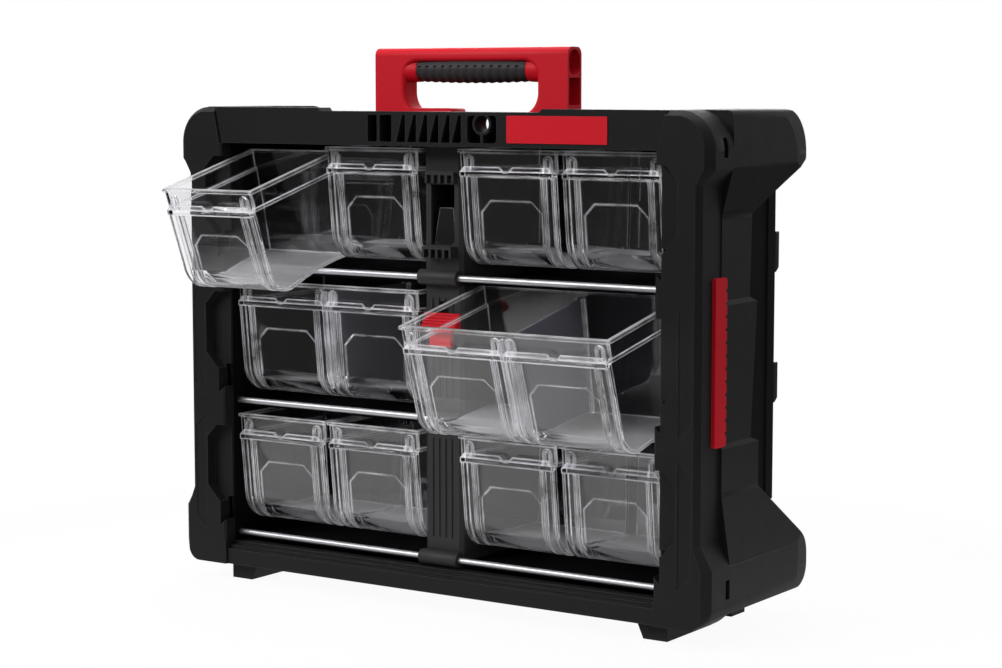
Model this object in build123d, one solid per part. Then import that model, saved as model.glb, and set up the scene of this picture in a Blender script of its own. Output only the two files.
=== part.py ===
from build123d import *
from math import cos, hypot, radians, sin
import os

# Organizer case: a black moulded parts cabinet with three rows of clear bins in two bays.
# Millimetres, +Z up, front towards -Y. The origin is on the floor, midway in width, and midway in depth
# from the front of the drawn-out single bin to the rear bumpers.

# Whole case
case_width = 500.0
case_height = 391.0
case_depth = 163.0
overrun = 1.0
joint_gap = 0.3

# Rows, bays and rods
row_count = 3
lowest_rod_z = 38.4
top_row_drop = 20.2
rod_setback = 20.0
rod_diameter = 5.0
rod_fit = 0.05
rod_seat_depth = 5.0
bay_inner_x = 18.0
frame_width = 46.0

# Side frames: front bezel, seen from the front
base_z = 14.0
waist_inset = 10.0
bezel_depth = 33.0
bezel_corner_radius = 29.0
bezel_bumper_drop = 42.0
bezel_waist_drop = 54.0
bezel_lower_waist_z = 76.0
lower_bumper_high_z = 59.0
bottom_corner_radius = 17.0
bezel_chamfer = 6.2
waist_chamfer = 3.2
top_chamfer = 3.8

# Side frames: body behind the bezel, seen from the front
body_corner_radius = 6.0
body_bumper_drop = 40.0
body_waist_drop = 76.0
body_lower_waist_z = 110.0
bumper_edge_radius = 12.0
waist_edge_radius = 24.0
panel_proud = 1.0
panel_lean = 1.5
panel_shares = (0.165, 0.68)
panel_step = 3.5

# Side frames: outline from the side
upper_rear_inset = 9.5
upper_rear_radius = 33.0
upper_rear_low_drop = 38.0
upper_rear_low_radius = 4.0
neck_depth = 79.0
panel_tops_depth = (85.5, 90.0)
panel_ends_depth = (76.6, 80.0)
lower_neck_z = 110.0
lower_rear_high_z = 56.5
lower_rear_high_radius = 20.0
lower_rear_low_radius = 17.0
heel_setback = 26.0
heel_slope = 8.0
heel_z = 22.0
rear_bevel_depth = 20.0
rear_bevel_width = 2.5
rear_bevel_height = 3.0

# Side frames: walls and recesses
front_wall = 12.0
frame_floor = 17.0
frame_roof = 14.0
mouth_bevel_width = 1.5
mouth_bevel_depth = 1.5
notch_width = 18.4
notch_depth = 9.5
notch_low_rise = 28.0
notch_high_gap = 19.3
notch_slopes = ((12.0, 13.0), (10.0, 10.5))
relief_width = 5.5
relief_low_rise = 8.0
relief_high_rise = 31.0
cheek_low_x = 20.0
cheek_high_x = 31.0
cheek_low_rise = 4.6
cheek_high_gap = 11.0
cheek_slope = 10.0
cheek_depth = 0.7
bumper_slot_width = 6.2
bumper_slot_height = 14.5
bumper_slot_depth = 7.0
upper_slot_setback = 18.6
upper_slot_drop = 34.0
lower_slot_setback = 27.0
lower_slot_z = 34.2

# Red side strips
strip_setback = 20.9
strip_width = 17.3
strip_low_rise = 36.0
strip_high_drop = 45.0
strip_thickness = 5.0
strip_proud = 3.0
strip_corner = 2.5
strip_rib_count = 13
strip_rib_depth = 2.0
strip_rib_height = 2.4

# Bay liners
liner_thickness = 3.0
liner_boss_diameter = 14.0
shelf_tongue = 1.5
tongue_clearance = 0.1

# Top rail
rail_setback = 2.0
rail_low_drop = 29.0
rail_high_drop = 2.5
rail_depth = 16.0
rail_end_low_reach = 2.0
rail_end_high_reach = 8.0
rail_pad_inner_x = 103.0
rail_pad_slope = 3.0
pocket_depth = 13.0
pocket_low_rise = 3.0
pocket_high_drop = 2.5
pocket_lefts_x = (-56.0, -44.5)
pocket_widths = (9.0, 11.5)
pocket_corner = 1.2
fin_count = 6
fin_start_x = -28.6
fin_pitch = 10.5
fin_low_width = 8.6
fin_high_width = 2.6
eye_x = 51.5
eye_rise = 17.5
eye_wall = 1.8
eye_bore = 13.2
eye_cell_half_width = 13.3
eye_cell_corner = 3.0
eye_web = 2.4

# Badge plate
badge_center_x = 118.5
badge_width = 88.0
badge_low_rise = 3.5
badge_high_drop = 2.5
badge_thickness = 2.0
badge_recess = 1.2
badge_corner = 1.0

# Top panel and base panel
top_panel_drop = 19.0
top_panel_thickness = 4.0
base_thickness = 4.0
base_side_wall = 3.0

# Bottom rail
sill_setback = 2.0
sill_face_z = 27.0
sill_step_z = 29.5
sill_top_z = 32.0
sill_step_depth = 4.0
sill_lip_depth = 9.0
sill_depth = 20.0
sill_wall = 3.0

# Back tub
tub_inset = 10.0
tub_back_inset = 31.0
tub_wall = 4.0
tub_flange_depth = 54.0
tub_rib_count = 5
tub_rib_pitch_share = 0.14
tub_rib_width = 3.0
tub_rib_rise = 2.0
tub_rib_margin = 2.0
tub_band_width = 12.0
tub_band_proud = 1.2
tub_band_margins = (18.0, 15.0)
cleat_reach_x = 8.0
cleat_width = 24.0
cleat_middle_shares = (0.35, 0.84)
cleat_height = 31.0
cleat_reach = 4.5
cleat_lead = 3.5

# Centre post
post_setback = 4.0
post_wall = 3.0
post_edge = 3.0
post_boss_diameter = 12.0
flute_count = 4
flute_pitch = 6.0
flute_width = 2.2
flute_depth = 1.0
flute_margin = 16.0
window_low_rise = 25.0
window_high_rise = 72.0
window_half_width = 11.0
comb_rises = (15.5, 73.0)
comb_fronts = (9.0, 5.0)
comb_height = 9.0
comb_half_width = 13.5
comb_rib_count = 4
comb_rib_pitch = 6.4
comb_slot_width = 4.2
comb_slot_height = 6.5
slot_half_width = 4.0
slot_end_gap = 1.0

# Lock slider and lock bar, measured from the top rod
lock_travel = 14.0
slider_low_drop = 53.8
slider_height = 26.0
slider_width = 32.0
slider_reach = 10.0
slider_crown = 3.0
slider_nose = 3.0
slider_foot_share = 0.45
slider_foot_width = 20.0
slider_foot_reach = 5.0
slider_rib_count = 5
slider_rib_depth = 1.2
slider_rib_gap_share = 0.4
stem_width = 7.0
stem_height = 14.0
bar_half_width = 7.5
bar_thickness = 3.0
bar_low_drop = 70.0
bar_tip_rise = 54.0
bar_tip_length = 28.0
bar_tip_half_widths = (10.0, 6.5)
bar_tip_shift = 1.5
guide_width = 2.5
guide_height = 30.0
guide_depth = 4.5
guide_drops = (65.0, 10.0)

# Half shelves
shelf_thickness = 3.0
shelf_drop = 5.0
shelf_setback = 4.5
runner_width = 14.0
runner_rear_gap = 6.0
shelf_lip_height = 2.0
shelf_lip_depth = 3.0

# Handle and grip
handle_half_width = 91.5
handle_setback = 60.0
handle_thickness = 20.0
handle_rise = 47.0
handle_top_round = 6.0
hand_gap_half_width = 63.0
hand_gap_high_drop = 11.0
hand_gap_low_radius = 17.0
hand_gap_high_radius = 12.0
foot_flange_drops = (0.5, 5.0)
foot_flange_ends_x = (-17.0, 42.0)
foot_flange_corner = 3.0
handle_edge_round = 3.5
grip_diameter = 18.5
grip_belly = 1.2
grip_core_diameter = 11.0
grip_half_length = 52.0
grip_drop = 6.5
grip_rib_count = 13
grip_rib_gap = 1.6
grip_rib_depth = 0.9
fairing_length = 12.0
fairing_diameter = 19.6
side_pocket_depth = 20.0
side_pocket_margin = 2.2
side_pocket_low_rise = 2.8
side_pocket_split_drop = 23.5
side_pocket_web = 2.2
side_pocket_high_drop = 2.0
side_pocket_radii = ((1.0, 1.0), (5.5, 7.5))
handle_bolt_diameter = 6.0
handle_bolt_head = 10.0
handle_bolt_head_height = 3.5
handle_bolt_reach = 18.0
handle_bolt_hole_fit = 0.15
handle_bolt_xs = (-84.0, -70.0, 70.0, 84.0)

# Feet
skid_inner_reach = -22.3
skid_outer_reach = 4.5
skid_slope = 6.3
front_skid_setback = 14.0
front_skid_length = 69.0
rear_foot_gap = 27.0
rear_foot_length = 22.0

# Back screws
screw_diameter = 4.0
screw_head = 8.0
screw_head_height = 2.4
screw_length = 12.0
screw_fit = 0.1
screw_reach_x = 8.0
screw_shares = (0.01, 0.6, 1.03)
screw_block = 12.0

# Bins, measured from their rod in the closed place
bin_gap = 2.5
bin_rise_gap = 10.8
bin_front_lead = 2.0
bin_rear_gap = 2.0
bin_rear_taper = 4.0
bin_toe_setback = 8.0
bin_toe_rise = 6.0
bin_toe_radius = 22.0
bin_wall = 2.0
bin_glide_gap = 0.3
bin_rim_width = 1.3
bin_rim_height = 2.6
bin_step = 1.6
bin_ledge_drop = 17.2
bin_ledge_thickness = 3.6
bin_ledge_reach = 5.0
bin_rib_width = 2.4
bin_rib_depth = 4.0
bin_rib_spacing = 9.5
bin_lip_height = 4.2
bin_lip_depth = 1.8
bin_lip_gap = 4.0
bin_lip_slope = 4.0
bin_window_drop = 22.0
bin_window_corner = 9.0
bin_window_margin = 3.0
bin_window_depth = 0.7
bin_hairpin_inset = 3.0
bin_hairpin_width = 7.0
bin_hairpin_wall = 1.6
bin_hairpin_proud = 1.0
bin_hairpin_drop = 4.5

# Draw-out and tip of the bins, about a pole below and behind the rod
single_pole_setback = 76.4
single_pole_drop = 258.0
single_tip_angle = 15.0
double_pole_setback = 49.4
double_pole_drop = 280.6
double_tip_angle = 12.0

# Dividers of the double bins
divider_thickness = 2.4
divider_drop = 6.0
divider_gap = 0.4
divider_guide_width = 2.0
divider_guide_depth = 3.0

# Places worked out from the sizes above
half_width = case_width / 2
bay_outer_x = half_width - frame_width
waist_x = half_width - waist_inset
tub_half_width = waist_x - tub_inset
rod_pitch = (case_height - top_row_drop - lowest_rod_z) / row_count
rod_zs = [lowest_rod_z + row * rod_pitch for row in range(row_count)]
bin_rise = rod_pitch - bin_rise_gap
tip_angle = radians(single_tip_angle)
rim_behind_pole = -single_pole_setback - bin_front_lead - bin_rim_width
rim_swing = rim_behind_pole * cos(tip_angle) - (single_pole_drop + bin_rise) * sin(tip_angle)
drawn_out_reach = -rod_setback - single_pole_setback - rim_swing
front_y = (drawn_out_reach - case_depth) / 2
rear_y = front_y + case_depth
rod_y = front_y + rod_setback
bezel_rear_y = front_y + bezel_depth
tub_rear_y = rear_y - tub_back_inset + tub_wall
tub_inner_y = tub_rear_y - tub_wall
bin_rear_setback = tub_inner_y - rod_y - bin_rear_gap
frame_low_z = base_z + frame_floor
frame_high_z = case_height - frame_roof
upper_neck_z = case_height - body_waist_drop
neck_height = upper_neck_z - lower_neck_z
rail_front_y = front_y + rail_setback
rail_low_z = case_height - rail_low_drop
rail_high_z = case_height - rail_high_drop
pocket_low_z = rail_low_z + pocket_low_rise
pocket_high_z = rail_high_z - pocket_high_drop
eye_z = rail_low_z + eye_rise
badge_low_z = rail_low_z + badge_low_rise
badge_high_z = rail_high_z - badge_high_drop
top_panel_z = case_height - top_panel_drop
handle_top_z = case_height + handle_rise
hand_gap_high_z = handle_top_z - hand_gap_high_drop
strip_low_z = lower_neck_z + strip_low_rise
strip_high_z = upper_neck_z - strip_high_drop
post_front_y = rod_y + post_setback
slider_low_z = rod_zs[-1] - slider_low_drop
bar_low_z = rod_zs[-1] - bar_low_drop
bar_tip_z = rod_zs[-1] + bar_tip_rise
screw_xs = (-bay_outer_x - screw_reach_x, bay_outer_x + screw_reach_x)
screw_zs = [lower_neck_z + neck_height * share for share in screw_shares]
bay_pitch = (bay_outer_x - bay_inner_x) / 2


def block(x_low, x_high, y_low, y_high, z_low, z_high):
    """Box between two corners."""
    center = Pos((x_low + x_high) / 2, (y_low + y_high) / 2, (z_low + z_high) / 2)
    return center * Box(x_high - x_low, y_high - y_low, z_high - z_low)


def face_x(outline, x, radii):
    """Flat face across X from (y, z) points, with a radius at each corner."""
    points = [(x, y, z) for y, z in outline]
    return make_face(FilletPolyline(*points, radius=radii, close=True))


def face_y(outline, y, radii):
    """Flat face across Y from (x, z) points, with a radius at each corner."""
    points = [(x, y, z) for x, z in outline]
    return make_face(FilletPolyline(*points, radius=radii, close=True))


def prism_x(outline, x_low, x_high, radii=0):
    """Outline of (y, z) points drawn along X, with an optional radius at each corner."""
    return extrude(face_x(outline, x_low, radii), x_high - x_low, (1, 0, 0))


def prism_y(outline, y_low, y_high, radii=0):
    """Outline of (x, z) points drawn along Y, with an optional radius at each corner."""
    return extrude(face_y(outline, y_low, radii), y_high - y_low, (0, 1, 0))


def prism_z(outline, z_low, z_high, radii=0):
    """Outline of (x, y) points drawn along Z, with an optional radius at each corner."""
    points = [(x, y, z_low) for x, y in outline]
    return extrude(make_face(FilletPolyline(*points, radius=radii, close=True)), z_high - z_low, (0, 0, 1))


def rod_x(radius, x_low, x_high, y, z):
    """Round bar along X."""
    return Pos((x_low + x_high) / 2, y, z) * Rot(0, 90, 0) * Cylinder(radius, x_high - x_low)


def rod_along_y(radius, y_low, y_high, x, z):
    """Round bar along Y."""
    return Pos(x, (y_low + y_high) / 2, z) * Rot(90, 0, 0) * Cylinder(radius, y_high - y_low)


def rod_along_z(radius, z_low, z_high, x, y):
    """Round bar along Z."""
    return Pos(x, y, (z_low + z_high) / 2) * Cylinder(radius, z_high - z_low)


def mirrored(shape):
    """The same piece on the left side."""
    return mirror(shape, Plane.YZ)


def side_frame():
    """Right side frame: a chamfered front bezel and a deeper body, crossed with the side outline."""
    frame = bezel_body() + prism_y(body_outline(), bezel_rear_y, rear_y, body_radii())
    frame &= side_profile()
    frame -= frame_hollow()
    frame -= rail_joint_cut()
    frame -= mouth_cuts()
    frame -= cheek_cuts()
    frame -= bumper_slots()
    frame -= strip_body(strip_thickness - strip_proud, strip_proud + overrun)
    for screw_z in screw_zs:
        frame -= screw_hole(screw_xs[-1], screw_z)
    return frame


def bezel_outline(bumper_inset, waist_step, top_inset):
    """Front outline of the bezel, drawn in at the bumpers, at the waist and at the top."""
    bumper_x = half_width - bumper_inset
    bezel_waist_x = waist_x - waist_step
    return [
        (bay_outer_x, base_z),
        (bumper_x, base_z),
        (bumper_x, lower_bumper_high_z),
        (bezel_waist_x, bezel_lower_waist_z),
        (bezel_waist_x, case_height - bezel_waist_drop),
        (bumper_x, case_height - bezel_bumper_drop),
        (bumper_x, case_height - top_inset),
        (bay_outer_x, case_height - top_inset),
    ]


def bezel_body():
    """Bezel with a chamfer that is broad at the bumpers and narrow at the waist."""
    outer = bezel_outline(0, 0, 0)
    outer_radii = [0, bottom_corner_radius, 0, 0, 0, 0, bezel_corner_radius, 0]
    inner = bezel_outline(bezel_chamfer, waist_chamfer, top_chamfer)
    inner_radii = [max(radius - bezel_chamfer, 0) for radius in outer_radii]
    chamfer_y = front_y + bezel_chamfer
    front = face_y(inner, front_y, inner_radii)
    rear = face_y(outer, chamfer_y, outer_radii)
    return loft([front, rear], ruled=True) + prism_y(outer, chamfer_y, bezel_rear_y, outer_radii)


def body_outline():
    """Front outline of the body behind the bezel, with two panel edges on the waist."""
    low_x = waist_x + panel_proud
    outline = [
        (bay_outer_x, base_z),
        (half_width, base_z),
        (half_width, lower_bumper_high_z),
        (low_x + panel_lean, body_lower_waist_z),
    ]
    for z in panel_edges():
        outline += [(low_x + panel_lean, z), (low_x, z + panel_step)]
    outline += [
        (low_x, case_height - body_waist_drop),
        (half_width, case_height - body_bumper_drop),
        (half_width, case_height),
        (bay_outer_x, case_height),
    ]
    return outline


def body_radii():
    """Corner radii of the body outline."""
    panel_corners = [0, 0] * len(panel_shares)
    return [0, bottom_corner_radius, bumper_edge_radius, waist_edge_radius, *panel_corners,
            waist_edge_radius, bumper_edge_radius, body_corner_radius, 0]


def panel_edges():
    """Heights of the two edges on the waist."""
    return [lower_neck_z + neck_height * share for share in panel_shares]


def side_profile():
    """Side outline of a side frame, drawn along X, with a long shallow bevel behind the bumpers."""
    bevel_x = half_width - rear_bevel_width
    inner = prism_x(side_outline(), bay_outer_x, bevel_x, side_radii())
    outer = prism_x(side_outline(), bevel_x, half_width, side_radii())
    middle_z = (lower_neck_z + upper_neck_z) / 2
    upper_rear_y = rear_y - upper_rear_inset
    caps = [
        bumper_cap(upper_rear_y, middle_z, case_height, [0, 0, upper_rear_radius, 0], rear_bevel_height),
        bumper_cap(rear_y, heel_z, middle_z, [0, lower_rear_low_radius, 0, 0], 0),
    ]
    return inner + [outer & cap for cap in caps]


def bumper_cap(cap_rear_y, low_z, high_z, radii, top_inset):
    """Slice at a bumper's outer face that narrows towards it, at the rear and at the top."""
    faces = []
    bevel_x = half_width - rear_bevel_width
    for x, rear_inset, inset in ((bevel_x, 0, 0), (half_width, rear_bevel_depth, top_inset)):
        far_y = cap_rear_y - rear_inset
        outline = [(front_y, low_z), (far_y, low_z), (far_y, high_z - inset), (front_y, high_z - inset)]
        faces.append(face_x(outline, x, radii))
    return loft(faces, ruled=True)


def side_outline():
    """Outline of a side frame from the side."""
    upper_rear_y = rear_y - upper_rear_inset
    lower_edge_z, upper_edge_z = panel_edges()
    return [
        (front_y, base_z),
        (front_y + heel_setback, base_z),
        (front_y + heel_setback + heel_slope, heel_z),
        (rear_y, heel_z),
        (rear_y, lower_rear_high_z),
        (front_y + panel_tops_depth[1], lower_neck_z),
        (front_y + panel_tops_depth[1], lower_edge_z),
        (front_y + panel_ends_depth[1], lower_edge_z + panel_step),
        (front_y + panel_tops_depth[0], upper_edge_z),
        (front_y + panel_ends_depth[0], upper_edge_z + panel_step),
        (front_y + neck_depth, upper_neck_z),
        (upper_rear_y, case_height - upper_rear_low_drop),
        (upper_rear_y, case_height),
        (front_y, case_height),
    ]


def side_radii():
    """Corner radii of the side outline."""
    return [0, 0, 0, lower_rear_low_radius, lower_rear_high_radius, 0, 0, 0, 0, 0, 0, upper_rear_low_radius,
            upper_rear_radius, 0]


def frame_hollow():
    """The room inside a side frame, open towards the bay, for the liner and the tub flange."""
    return block(bay_outer_x - overrun, tub_half_width + joint_gap, front_y + front_wall, tub_rear_y,
                 frame_low_z, frame_high_z)


def rail_end(y_low, high_z):
    """Right half of the top rail's flange, with its slanted end, from y_low back to the bay."""
    rise_share = (high_z - rail_low_z) / (case_height - rail_low_z)
    low_x = bay_outer_x + rail_end_low_reach
    high_x = low_x + (rail_end_high_reach - rail_end_low_reach) * rise_share
    outline = [
        (0, rail_low_z),
        (low_x, rail_low_z),
        (high_x, high_z),
        (0, high_z),
    ]
    return prism_y(outline, y_low, front_y + front_wall)


def rail_joint_cut():
    """The slanted seat of the top rail in a side frame's front wall."""
    return rail_end(front_y - overrun, case_height + overrun)


def mouth_cuts():
    """Bevel along the mouth of the bay, with one faceted recess and one deep relief beside each row."""
    bevel = [
        (bay_outer_x, front_y),
        (bay_outer_x + mouth_bevel_width, front_y),
        (bay_outer_x, front_y + mouth_bevel_depth),
    ]
    cuts = prism_z(bevel, sill_top_z, rail_low_z)
    inner_x = bay_outer_x - overrun
    outer_x = bay_outer_x + notch_width
    relief_x = bay_outer_x + relief_width
    (low_run, low_slope), (high_run, high_slope) = notch_slopes
    for rod_z in rod_zs:
        low_z, high_z = rod_z + notch_low_rise, rod_z + rod_pitch - notch_high_gap
        notch = [
            (inner_x, low_z),
            (outer_x - low_run, low_z),
            (outer_x, low_z + low_slope),
            (outer_x, high_z - high_slope),
            (outer_x - high_run, high_z),
            (inner_x, high_z),
        ]
        cuts += prism_y(notch, front_y - overrun, front_y + notch_depth)
        relief = [
            (inner_x, rod_z + relief_low_rise + relief_width),
            (relief_x, rod_z + relief_low_rise),
            (relief_x, rod_z + relief_high_rise),
            (inner_x, rod_z + relief_high_rise),
        ]
        cuts += prism_y(relief, front_y - overrun, front_y + front_wall)
    return cuts


def cheek_cuts():
    """Shallow facet with slanted ends beside each recess."""
    cheeks = []
    low_x, high_x = bay_outer_x + cheek_low_x, bay_outer_x + cheek_high_x
    for rod_z in rod_zs[:-1]:
        low_z, high_z = rod_z + cheek_low_rise, rod_z + rod_pitch - cheek_high_gap
        outline = [
            (low_x, low_z),
            (high_x, low_z + cheek_slope),
            (high_x, high_z - cheek_slope),
            (low_x, high_z),
        ]
        cheeks.append(prism_y(outline, front_y - overrun, front_y + cheek_depth))
    return cheeks


def bumper_slots():
    """Narrow upright relief in the upper and lower bumper."""
    slots = []
    for setback, low_z in ((upper_slot_setback, case_height - upper_slot_drop),
                           (lower_slot_setback, lower_slot_z)):
        slots.append(block(half_width - bumper_slot_depth, half_width + overrun, front_y + setback,
                           front_y + setback + bumper_slot_width, low_z, low_z + bumper_slot_height))
    return slots


def strip_body(depth, proud):
    """Plain body of the right strip, sunk by depth into the waist and standing proud of it."""
    low_y = front_y + strip_setback
    high_y = low_y + strip_width
    outline = [(low_y, strip_low_z), (high_y, strip_low_z), (high_y, strip_high_z), (low_y, strip_high_z)]
    return prism_x(outline, waist_x - depth, waist_x + proud, strip_corner)


def grip_strip():
    """Red strip with a serrated rear edge."""
    strip = strip_body(strip_thickness - strip_proud, strip_proud)
    rear = front_y + strip_setback + strip_width
    pitch = (strip_high_z - strip_low_z) / strip_rib_count
    notches = []
    for rib in range(1, strip_rib_count):
        z = strip_low_z + rib * pitch
        notches.append(block(waist_x, waist_x + strip_proud + overrun, rear - strip_rib_depth,
                             rear + overrun, z - strip_rib_height / 2, z + strip_rib_height / 2))
    return strip - notches


def bay_liner():
    """Inner side wall of the right bay, with blind rod seats and a groove for each shelf."""
    inner, outer = bay_outer_x, bay_outer_x + liner_thickness
    liner = block(inner, outer, front_y + front_wall, tub_inner_y, frame_low_z, frame_high_z)
    for rod_z in rod_zs:
        liner += rod_x(liner_boss_diameter / 2, inner, outer + rod_seat_depth, rod_y, rod_z)
        liner -= rod_x(rod_diameter / 2 + rod_fit, inner - overrun, inner + rod_seat_depth, rod_y, rod_z)
        liner -= shelf_plate(rod_z, tongue_clearance)
    liner += block(outer, outer + screw_block, tub_inner_y - screw_block, tub_inner_y,
                   frame_low_z, frame_high_z)
    for screw_z in screw_zs:
        liner -= screw_hole(screw_xs[-1], screw_z)
    return liner


def top_rail():
    """Front top rail with slanted ends, raised pads, core-out pockets, fins and the lock eye."""
    back_y = rail_front_y + rail_depth
    flange_y = front_y + front_wall
    right_half = rail_end(rail_front_y, case_height)
    rail = right_half + mirrored(right_half)
    rail += block(-bay_outer_x, bay_outer_x, flange_y, back_y, rail_low_z, case_height)
    rail -= rail_top_cut()
    pockets = pocket_cuts()
    rail -= pockets
    rail -= eye_cell()
    rail += eye_ring()
    rail -= rod_along_y(eye_bore / 2, rail_front_y - overrun, back_y + overrun, eye_x, eye_z)
    rail -= badge_body(badge_recess, overrun)
    return rail


def rail_top_cut():
    """The lower middle of the rail's top, between the two raised pads."""
    outline = [
        (-rail_pad_inner_x, rail_high_z),
        (rail_pad_inner_x, rail_high_z),
        (rail_pad_inner_x + rail_pad_slope, case_height + overrun),
        (-rail_pad_inner_x - rail_pad_slope, case_height + overrun),
    ]
    return prism_y(outline, front_y - overrun, rear_y)


def pocket_cuts():
    """Two rectangular pockets and a row of slanted ones, narrow at the top."""
    y_low, y_high = rail_front_y - overrun, rail_front_y + pocket_depth
    cuts = []
    for left, width in zip(pocket_lefts_x, pocket_widths):
        outline = [
            (left, pocket_low_z),
            (left + width, pocket_low_z),
            (left + width, pocket_high_z),
            (left, pocket_high_z),
        ]
        cuts.append(prism_y(outline, y_low, y_high, pocket_corner))
    for fin in range(fin_count):
        right = fin_start_x + fin * fin_pitch + fin_low_width
        outline = [
            (right - fin_low_width, pocket_low_z),
            (right, pocket_low_z),
            (right, pocket_high_z),
            (right - fin_high_width, pocket_high_z),
        ]
        cuts.append(prism_y(outline, y_low, y_high))
    return cuts


def eye_cell():
    """The rounded cell around the lock eye."""
    low_x, high_x = eye_x - eye_cell_half_width, eye_x + eye_cell_half_width
    outline = [(low_x, pocket_low_z), (high_x, pocket_low_z), (high_x, pocket_high_z), (low_x, pocket_high_z)]
    return prism_y(outline, rail_front_y - overrun, rail_front_y + pocket_depth, eye_cell_corner)


def eye_ring():
    """Ring of the lock eye, standing on a web in its cell."""
    y_low, y_high = rail_front_y, rail_front_y + pocket_depth
    ring = rod_along_y(eye_bore / 2 + eye_wall, y_low, y_high, eye_x, eye_z)
    ring += block(eye_x - eye_web / 2, eye_x + eye_web / 2, y_low, y_high, pocket_low_z, eye_z)
    ring += block(eye_x - eye_web / 2, eye_x + eye_web / 2, y_low, y_high, eye_z, pocket_high_z)
    return ring


def badge_body(depth, proud):
    """Plate let into the rail's front by depth, standing proud of it."""
    low_x, high_x = badge_center_x - badge_width / 2, badge_center_x + badge_width / 2
    outline = [(low_x, badge_low_z), (high_x, badge_low_z), (high_x, badge_high_z), (low_x, badge_high_z)]
    return prism_y(outline, rail_front_y - proud, rail_front_y + depth, badge_corner)


def badge_plate():
    """Bare red plate on the top rail."""
    return badge_body(badge_recess, badge_thickness - badge_recess)


def top_panel():
    """Recessed top that carries the handle."""
    panel = block(-bay_outer_x, bay_outer_x, rail_front_y + rail_depth, tub_inner_y,
                  top_panel_z - top_panel_thickness, top_panel_z)
    for x in handle_bolt_xs:
        panel -= handle_bolt_hole(x, top_panel_z - top_panel_thickness - overrun, top_panel_z + overrun)
    return panel


def base_panel():
    """Flat underside between the side frames, with a low wall along each."""
    y_low = front_y + sill_setback + sill_depth
    base = block(-bay_outer_x, bay_outer_x, y_low, tub_inner_y, base_z, base_z + base_thickness)
    wall = block(bay_outer_x - base_side_wall, bay_outer_x, y_low, tub_inner_y, base_z, frame_low_z)
    return base + [wall, mirrored(wall)]


def bottom_rail():
    """Front bottom rail: a stepped, hollow sill below the lowest rod."""
    face_y = front_y + sill_setback
    back_y = face_y + sill_depth
    outline = [
        (face_y, base_z),
        (face_y, sill_face_z),
        (face_y + sill_step_depth, sill_face_z),
        (face_y + sill_step_depth, sill_step_z),
        (face_y + sill_lip_depth, sill_step_z),
        (face_y + sill_lip_depth, sill_top_z),
        (back_y, sill_top_z),
        (back_y, base_z),
    ]
    sill = prism_x(outline, -bay_outer_x, bay_outer_x)
    hollow = block(-bay_outer_x + sill_wall, bay_outer_x - sill_wall, face_y + sill_lip_depth + sill_wall,
                   back_y - sill_wall, base_z - overrun, sill_top_z - sill_wall)
    return sill - hollow


def back_panel():
    """Back tub: a flat back with side flanges, a raised rear band on each flange and upright ribs."""
    low_z, high_z = frame_low_z, frame_high_z
    tub = block(-tub_half_width, tub_half_width, tub_inner_y, tub_rear_y, low_z, high_z)
    tub += block(-bay_outer_x, bay_outer_x, tub_inner_y, tub_rear_y, base_z, low_z)
    tub -= block(-bay_outer_x, bay_outer_x, tub_inner_y - overrun, tub_rear_y + overrun, top_panel_z,
                 high_z + overrun)
    flange = block(tub_half_width - tub_wall, tub_half_width, tub_inner_y - tub_flange_depth, tub_inner_y,
                   low_z, high_z)
    low_margin, high_margin = tub_band_margins
    flange += block(tub_half_width - tub_wall, tub_half_width + tub_band_proud, tub_rear_y - tub_band_width,
                    tub_rear_y, lower_neck_z - low_margin, upper_neck_z + high_margin)
    tub += [flange, mirrored(flange)]
    for rib in range(tub_rib_count):
        x = (rib - (tub_rib_count - 1) / 2) * tub_rib_pitch_share * case_width
        tub += block(x - tub_rib_width / 2, x + tub_rib_width / 2, tub_rear_y, tub_rear_y + tub_rib_rise,
                     lower_neck_z + tub_rib_margin, upper_neck_z - tub_rib_margin)
    for x in screw_xs:
        for z in screw_zs:
            tub -= screw_hole(x, z)
    return tub


def back_cleats():
    """Hooked cleats on the back, two on each side."""
    cleats = []
    cleat_x = bay_outer_x + cleat_reach_x
    for share in cleat_middle_shares:
        low_z = lower_neck_z + neck_height * share - cleat_height / 2
        outline = [
            (tub_rear_y, low_z),
            (tub_rear_y + cleat_reach, low_z + cleat_lead),
            (tub_rear_y + cleat_reach, low_z + cleat_height),
            (tub_rear_y, low_z + cleat_height),
        ]
        cleat = prism_x(outline, cleat_x - cleat_width / 2, cleat_x + cleat_width / 2)
        cleats += [cleat, mirrored(cleat)]
    return cleats


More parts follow.
